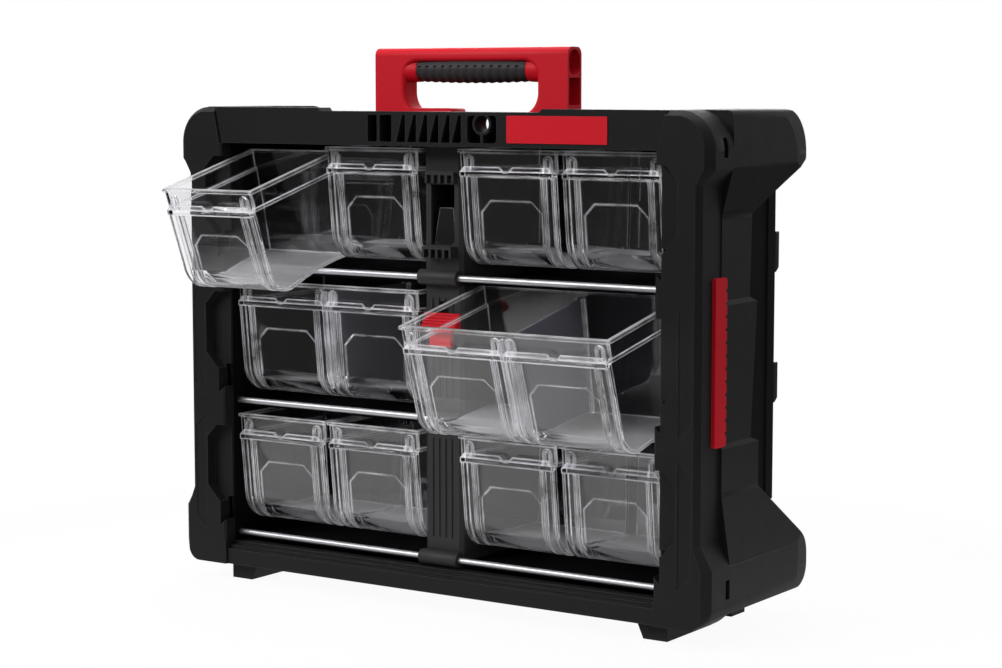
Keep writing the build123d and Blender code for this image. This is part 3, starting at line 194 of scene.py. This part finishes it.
def moulded(name, dark, light, rough, shine, grain, painted_edge_highlight=None, rear=None):
    """Moulded plastic or rubber: slow tone change, fine grain, a painted highlight that makes the edges
    lighter, and, given a rear colour, painted shade on every face but the rear.
    """
    g = Graph(bpy.data.materials.new(name))
    color = g.mix(g.noise(TONE_SCALE, TONE_DETAIL), dark, light)
    # Painted shade: with a rear colour, faces that don't look backwards keep the darker base colour
    if rear:
        behind = g.span(g.slope("Y"), 0.0, 1.0, *REAR_COSINES)
        rear_unshaded_share = g.math("MULTIPLY", behind, g.span(g.noise(REAR_PATCH_SCALE), *REAR_PATCH_SHARES))
        color = g.mix(rear_unshaded_share, color, rear)
    # Painted highlight: edges get a lighter colour, in noise patches, standing in for light caught on
    # rounded edges
    if painted_edge_highlight:
        edge = g.edge(EDGE_HIGHLIGHT_RADIUS, EDGE_HIGHLIGHT_COSINES)
        edge_highlight_share = g.math("MULTIPLY", edge, g.span(g.noise(EDGE_HIGHLIGHT_SCALE), *EDGE_HIGHLIGHT_SHARES))
        color = g.mix(edge_highlight_share, color, painted_edge_highlight)
    g.drive(Base_Color=color, Roughness=g.span(g.noise(GLOSS_SCALE), *rough), Specular_IOR_Level=shine,
            Normal=g.bump(g.noise(GRAIN_SCALE, FINE_DETAIL), grain, GRAIN_DEPTH))
    return g.owner


def clear_plastic(name, tint, frosted, rib_highlight):
    """Clear bin plastic: clear walls, frosted level faces, ribs and edges painted near-white and less clear
    as a painted highlight, and open to lamp light.
    """
    g = Graph(bpy.data.materials.new(name))
    level = g.span(g.math("ABSOLUTE", g.slope("Z")), 0.0, 1.0, *LEVEL_COSINES)
    edge = g.edge(RIB_RADIUS, RIB_COSINES)
    # Painted highlight: edges of ribs and rims turn near-white and less clear, in noise patches
    rib_highlight_share = g.math("MULTIPLY", edge, g.span(g.noise(RIB_SCALE), *RIB_SHARES, *RIB_NOISE_BAND))
    clear_share = g.span(rib_highlight_share, g.span(level, WALL_CLEAR_SHARE, LEVEL_CLEAR_SHARE), RIB_CLEAR_SHARE)
    g.drive(Base_Color=g.mix(rib_highlight_share, g.mix(level, tint, frosted), rib_highlight), Transmission_Weight=clear_share,
            Roughness=g.span(level, WALL_ROUGHNESS, LEVEL_ROUGHNESS), IOR=CLEAR_IOR,
            Normal=g.bump(g.noise(RIPPLE_SCALE, FINE_DETAIL), RIPPLE_STRENGTH, RIPPLE_DEPTH))
    path = g.add("ShaderNodeLightPath")
    open_to_lamps = g.add("ShaderNodeBsdfTransparent", {"Color": LAMP_TINT})
    g.mix_shaders(path.outputs["Is Shadow Ray"], g.shader, open_to_lamps)
    return g.owner


def plated_steel(name, dark, light, rough):
    """Bright steel with drawn streaks along the rods."""
    g = Graph(bpy.data.materials.new(name))
    streaks = g.noise(STREAK_SCALE, FINE_DETAIL, STREAK_STRETCH)
    g.drive(Base_Color=g.mix(streaks, dark, light), Metallic=1.0, Roughness=g.span(streaks, *rough),
            Normal=g.bump(streaks, STREAK_STRENGTH, STREAK_DEPTH))
    return g.owner


# The edge colour of each finish is a painted highlight, lighter than the plastic itself
black = moulded("black_moulded", dark=(0.0086, 0.0086, 0.0092), light=(0.0122, 0.0122, 0.0128),
                rough=(0.50, 0.62), shine=0.13, grain=0.35, painted_edge_highlight=(0.060, 0.060, 0.063))
post_black = moulded("post_black_moulded", dark=(0.024, 0.024, 0.025), light=(0.032, 0.032, 0.033),
                     rough=(0.45, 0.58), shine=0.2, grain=0.35, painted_edge_highlight=(0.05, 0.05, 0.052))
# Liners and shelves: a darker black than the frames, painted shade for the inside of the case
inner_shade_black = moulded("inner_black_moulded", dark=(0.0026, 0.0026, 0.0029), light=(0.0040, 0.0040, 0.0043),
                      rough=(0.55, 0.68), shine=0.04, grain=0.35)
# Back shell: the dark base is painted shade for the recess beside the side frames; the rear colour is the
# plastic's own black
shell_shade_black = moulded("shell_black_moulded", dark=(0.0030, 0.0030, 0.0033), light=(0.0046, 0.0046, 0.0049),
                      rough=(0.55, 0.68), shine=0.05, grain=0.35, painted_edge_highlight=(0.040, 0.040, 0.042),
                      rear=(0.0115, 0.0115, 0.0120))
# The tab's near-white edge colour is a painted highlight that outlines it
tab_black = moulded("tab_black_moulded", dark=(0.0060, 0.0060, 0.0064), light=(0.0080, 0.0080, 0.0084),
                    rough=(0.45, 0.55), shine=0.14, grain=0.2, painted_edge_highlight=(0.70, 0.70, 0.72))
red = moulded("red_moulded", dark=(0.61, 0.007, 0.018), light=(0.66, 0.010, 0.023),
              rough=(0.42, 0.54), shine=0.14, grain=0.2, painted_edge_highlight=(0.72, 0.025, 0.035))
grey = moulded("grey_moulded", dark=(0.095, 0.095, 0.115), light=(0.120, 0.120, 0.142),
               rough=(0.40, 0.52), shine=0.3, grain=0.25)
grip_rubber = moulded("grip_rubber_look", dark=(0.030, 0.027, 0.029), light=(0.040, 0.036, 0.038),
                      rough=(0.55, 0.70), shine=0.3, grain=0.5)
foot_rubber = moulded("foot_rubber_look", dark=(0.010, 0.010, 0.011), light=(0.014, 0.014, 0.015),
                      rough=(0.62, 0.80), shine=0.2, grain=0.5)
# The rib colour is a painted highlight standing in for light that the clear edges catch
clear = clear_plastic("clear_moulded", tint=(0.985, 0.980, 0.992), frosted=(0.60, 0.60, 0.61),
                      rib_highlight=(0.97, 0.95, 0.99))
steel = plated_steel("plated_rod", dark=(0.47, 0.47, 0.49), light=(0.57, 0.57, 0.59), rough=(0.42, 0.50))

# Each finish: its nodes, its material, and the width of the rounded edges, if any
FINISHES = [
    (FRAME_NODES + CROSS_NODES, black, OUTER_EDGE),
    (["center_post"], post_black, OUTER_EDGE),
    (LINER_NODES + SHELF_NODES, inner_shade_black, INNER_EDGE),
    (["back_panel"], shell_shade_black, OUTER_EDGE),
    (["lock_bar"], tab_black, TAB_EDGE),
    (RED_NODES, red, OUTER_EDGE),
    (DIVIDER_NODES, grey, BIN_EDGE),
    (FOOT_NODES, foot_rubber, OUTER_EDGE),
    (BIN_NODES, clear, BIN_EDGE),
    (STEEL_NODES, steel, None),
]


def round_edges(piece, width):
    """Rounds a piece's sharp edges with a modifier."""
    bevel = piece.modifiers.new("edge", "BEVEL")
    bevel.width = width
    bevel.segments = EDGE_SEGMENTS
    return bevel


def dress(name, material, edge):
    """Gives a CAD node its material and, with modifiers alone, slightly rounded edges."""
    node = nodes[name]
    node.data.materials.clear()
    node.data.materials.append(material)
    if edge:
        weld = node.modifiers.new("weld", "WELD")
        weld.merge_threshold = WELD_GAP
        bevel = round_edges(node, edge)
        bevel.limit_method = "ANGLE"
        bevel.angle_limit = EDGE_ANGLE


for names, material, edge in FINISHES:
    for name in names:
        dress(name, material, edge)


def piece_of(name, points, faces, material):
    """A new object from points and faces, with one material."""
    mesh = bpy.data.meshes.new(name)
    mesh.from_pydata(points, [], faces)
    mesh.materials.append(material)
    piece = bpy.data.objects.new(name, mesh)
    bpy.context.collection.objects.link(piece)
    return piece


# Rubber grip: sizes of its dimples, finger waves and rounded ends
DIMPLE_COUNT = 13
DIMPLE_PITCH = 7.75 * MM
DIMPLE_SHIFT = -2.0 * MM
DIMPLE_HALF_LENGTH = 1.7 * MM
DIMPLE_EDGE = 0.4 * MM
DIMPLE_DEPTH = 1.3 * MM
DIMPLE_ANGLE = math.radians(74)
DIMPLE_HALF_ANGLE = math.radians(5)
DIMPLE_EDGE_ANGLE = math.radians(2)
WAVE_DEPTH = 0.8 * MM
WAVE_ANGLES = (math.radians(80), math.radians(98))
WAVE_SLANT = 0.9
GRIP_BELLY = 1.2 * MM
GRIP_END_ROUND = 0.8 * MM
GRIP_END_STEPS = 3
GRIP_CORE_RADIUS = 5.5 * MM
GRIP_SKIN = 0.02 * MM
GRIP_SHARP_ANGLE = math.radians(50)
TURN_STEPS = 40
KEPT_DIGITS = 6


def smooth(value, start, end):
    """0 before start, 1 after end, with a soft ramp between."""
    share = min(max((value - start) / (end - start), 0.0), 1.0)
    return share * share * (3 - 2 * share)


def in_order(values):
    """Values in rising order, each once."""
    return sorted({round(value, KEPT_DIGITS) for value in values})


def grip_stations(half):
    """Places along the grip, close together at the rounded ends and at each dimple's edges."""
    places = {0.0}
    for dimple in range(DIMPLE_COUNT):
        x = DIMPLE_SHIFT + (dimple - (DIMPLE_COUNT - 1) / 2) * DIMPLE_PITCH
        for step in (0.0, DIMPLE_HALF_LENGTH - DIMPLE_EDGE, DIMPLE_HALF_LENGTH, DIMPLE_PITCH / 2):
            places |= {x - step, x + step}
    for step in range(GRIP_END_STEPS + 1):
        inset = GRIP_END_ROUND * (1 - math.cos(step * math.pi / 2 / GRIP_END_STEPS))
        places |= {half - inset, inset - half}
    return in_order(x for x in places if abs(x) <= half)


def grip_turns():
    """Angles round the grip from its top towards the front, close together at the dimples' edges."""
    turns = {step * math.tau / TURN_STEPS for step in range(TURN_STEPS)}
    for reach in (DIMPLE_HALF_ANGLE - DIMPLE_EDGE_ANGLE, DIMPLE_HALF_ANGLE):
        turns |= {DIMPLE_ANGLE - reach, DIMPLE_ANGLE + reach}
    return in_order(turns)


def grip_radius(x, turn, half, full_radius):
    """Radius of the grip's skin at a place along it and an angle round it."""
    radius = full_radius - GRIP_BELLY * (x / half) ** 2
    end_gap = half - abs(x)
    if end_gap < GRIP_END_ROUND:
        lost = GRIP_END_ROUND - end_gap
        radius -= GRIP_END_ROUND - math.sqrt(max(GRIP_END_ROUND ** 2 - lost ** 2, 0.0))
    side = min(turn, math.tau - turn)
    along_row = x - DIMPLE_SHIFT
    wave = math.cos(math.tau * along_row / DIMPLE_PITCH + WAVE_SLANT * (side - DIMPLE_ANGLE))
    radius -= WAVE_DEPTH * (1 + wave) / 2 * smooth(side, *WAVE_ANGLES)
    nearest = round(along_row / DIMPLE_PITCH) * DIMPLE_PITCH
    if abs(nearest) < DIMPLE_PITCH * DIMPLE_COUNT / 2:
        off_x = abs(along_row - nearest)
        off_turn = abs(turn - DIMPLE_ANGLE)
        along_share = 1 - smooth(off_x, DIMPLE_HALF_LENGTH - DIMPLE_EDGE, DIMPLE_HALF_LENGTH)
        round_share = 1 - smooth(off_turn, DIMPLE_HALF_ANGLE - DIMPLE_EDGE_ANGLE, DIMPLE_HALF_ANGLE)
        radius -= DIMPLE_DEPTH * along_share * round_share
    return radius


def grip_sleeve():
    """Rubber sleeve with a row of dimples on its upper front and finger waves below them."""
    low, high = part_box("handle_grip")
    middle = (low + high) / 2
    half = (high.x - low.x) / 2 - GRIP_SKIN
    full_radius = (high.z - low.z) / 2 - GRIP_SKIN
    turns = grip_turns()
    rings = [(x, [grip_radius(x, turn, half, full_radius) for turn in turns]) for x in grip_stations(half)]
    core = [GRIP_CORE_RADIUS] * len(turns)
    rings = [(-half, core)] + rings + [(half, core)]
    points = []
    for x, radii in rings:
        for turn, radius in zip(turns, radii):
            y = middle.y - radius * math.sin(turn)
            z = middle.z + radius * math.cos(turn)
            points.append((middle.x + x, y, z))
    faces = []
    count = len(turns)
    for ring in range(len(rings)):
        here = ring * count
        there = (ring + 1) % len(rings) * count
        for step in range(count):
            after = (step + 1) % count
            faces.append((here + step, here + after, there + after, there + step))
    sleeve = piece_of("grip_sleeve", points, faces, grip_rubber)
    sleeve.data.polygons.foreach_set("use_smooth", [True] * len(faces))
    sleeve.data.set_sharp_from_angle(angle=GRIP_SHARP_ANGLE)
    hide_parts("handle_grip")
    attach(sleeve, "case")


grip_sleeve()

# Rear cleats: size of each, and how deep they sit in the back shell
CLEAT_WIDTH = 24.0 * MM
CLEAT_HEIGHT = 31.0 * MM
CLEAT_LEAD = 3.5 * MM
CLEAT_REACH = 4.5 * MM
CLEAT_ROOT = 2.0 * MM
CLEAT_EDGE = 0.6 * MM


def rear_cleats():
    """Hooked cleats on the back, two on each side, out to the corners of the back shell."""
    low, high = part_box("back_cleats")
    shell_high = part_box("back_panel")[1]
    root_y = shell_high.y - CLEAT_ROOT
    tip_y = shell_high.y + CLEAT_REACH
    points = []
    faces = []
    for side in (-1, 1):
        for low_z in (low.z, high.z - CLEAT_HEIGHT):
            high_z = low_z + CLEAT_HEIGHT
            outline = [(root_y, low_z), (shell_high.y, low_z), (tip_y, low_z + CLEAT_LEAD), (tip_y, high_z),
                       (root_y, high_z)]
            first = len(points)
            count = len(outline)
            points += [(side * x, y, z) for x in (high.x - CLEAT_WIDTH, shell_high.x) for y, z in outline]
            ends = [tuple(first + step for step in range(count)),
                    tuple(first + count + step for step in reversed(range(count)))]
            walls = [(first + step, first + count + step, first + count + (step + 1) % count,
                      first + (step + 1) % count) for step in range(count)]
            cleat = ends + walls
            faces += cleat if side < 0 else [face[::-1] for face in cleat]
    cleats = piece_of("rear_cleats", points, faces, black)
    round_edges(cleats, CLEAT_EDGE)
    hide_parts("back_cleats")
    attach(cleats, "case")


rear_cleats()

# Studio: paper floor, backdrop, lamps (name, place, size, watts) and the photograph's camera
FLOOR_SIZE = 14.0
FLOOR_DROP = 0.2 * MM
PAPER_NEAR = 0.42
PAPER_FAR = 0.62
PALE_PAPER = (0.9, 0.9, 0.9)
DARK_PAPER = (0.03, 0.03, 0.03)
PAPER_ROUGHNESS = 0.9
NEAR_WHITE_SHARE = 0.95
AMBIENT_STRENGTH = 0.22
FRONT_STRENGTH = 0.03
BACKDROP_HEADINGS = (-0.35, 0.15)
HALF_BOUNCE = 0.5
WHITE = (1, 1, 1, 1)
LAMP_AIM = Vector((0, 0, 0.2))
LAMPS = [
    ("key", (-1.1, -1.7, 1.5), (1.4, 1.0), 40),
    ("fill", (1.9, -0.9, 0.9), (1.0, 1.4), 5),
    ("top", (0, 0.2, 2.0), (1.6, 1.2), 20),
    ("back", (-0.9, 2.0, 1.1), (1.4, 1.0), 25),
]
CAMERA_PLACE = (1.0562, -1.5145, 0.4095)
CAMERA_HEADING = (-0.554, 0.826, -0.1055)
CAMERA_LENS_MM = 84.65
CAMERA_SENSOR_MM = 36.0
CAMERA_FAR_CLIP = 50.0


def seen_straight(g):
    """Two masks: 1 on rays straight from the camera or through glass alone, and 1 on reflected rays."""
    path = g.add("ShaderNodeLightPath")
    reflected = g.math("GREATER_THAN", path.outputs["Glossy Depth"], HALF_BOUNCE)
    through = g.math("SUBTRACT", path.outputs["Is Transmission Ray"], reflected)
    return g.math("MAXIMUM", path.outputs["Is Camera Ray"], through), reflected


def aim(piece, heading):
    """Turns a lamp or camera to look along a heading."""
    piece.rotation_euler = Vector(heading).to_track_quat("-Z", "Y").to_euler()


def floor():
    """Paper that the camera sees white, with the case's shadow, and gloss sees white near the case alone."""
    bpy.ops.mesh.primitive_plane_add(size=FLOOR_SIZE, location=(0, 0, -FLOOR_DROP))
    plane = bpy.context.object
    plane.name = "floor"
    g = Graph(bpy.data.materials.new("floor_paper"))
    distance = g.add("ShaderNodeVectorMath", {0: g.coords.outputs["Object"]}, operation="LENGTH")
    near = g.span(distance.outputs["Value"], 1.0, 0.0, PAPER_NEAR, PAPER_FAR)
    g.drive(Base_Color=g.mix(near, DARK_PAPER, PALE_PAPER), Roughness=PAPER_ROUGHNESS)
    straight, reflected = seen_straight(g)
    straight_share = g.math("MULTIPLY", straight, g.span(near, 1.0, NEAR_WHITE_SHARE))
    white_share = g.math("MAXIMUM", straight_share, g.math("MULTIPLY", reflected, near))
    white = g.add("ShaderNodeEmission", {"Color": WHITE, "Strength": 1.0})
    g.mix_shaders(white_share, g.shader, white)
    plane.data.materials.append(g.owner)


def sky():
    """Soft ambient light, and a backdrop: white to the camera and through glass, dark to gloss in front."""
    g = Graph(bpy.data.worlds.new("studio"))
    bpy.context.scene.world = g.owner
    straight, reflected = seen_straight(g)
    toward = g.add("ShaderNodeSeparateXYZ", {"Vector": g.coords.outputs["Generated"]})
    backdrop = g.span(toward.outputs["Y"], FRONT_STRENGTH, 1.0, *BACKDROP_HEADINGS)
    strength = g.math("MAXIMUM", straight, g.span(reflected, AMBIENT_STRENGTH, backdrop))
    g.drive(Color=WHITE, Strength=strength)


def lamp(name, place, size, watts):
    """Soft box aimed at the middle of the case."""
    data = bpy.data.lights.new(name, "AREA")
    data.shape = "RECTANGLE"
    data.size, data.size_y = size
    data.energy = watts
    box = bpy.data.objects.new(name, data)
    box.location = place
    aim(box, LAMP_AIM - Vector(place))
    bpy.context.collection.objects.link(box)


def camera():
    """Camera at the photograph's viewing angle."""
    data = bpy.data.cameras.new("photo_camera")
    data.sensor_width = CAMERA_SENSOR_MM
    data.lens = CAMERA_LENS_MM
    data.clip_end = CAMERA_FAR_CLIP
    view = bpy.data.objects.new("photo_camera", data)
    view.location = CAMERA_PLACE
    aim(view, CAMERA_HEADING)
    bpy.context.collection.objects.link(view)
    bpy.context.scene.camera = view


floor()
sky()
for lamp_values in LAMPS:
    lamp(*lamp_values)
camera()
bpy.context.scene.view_settings.view_transform = "Standard"
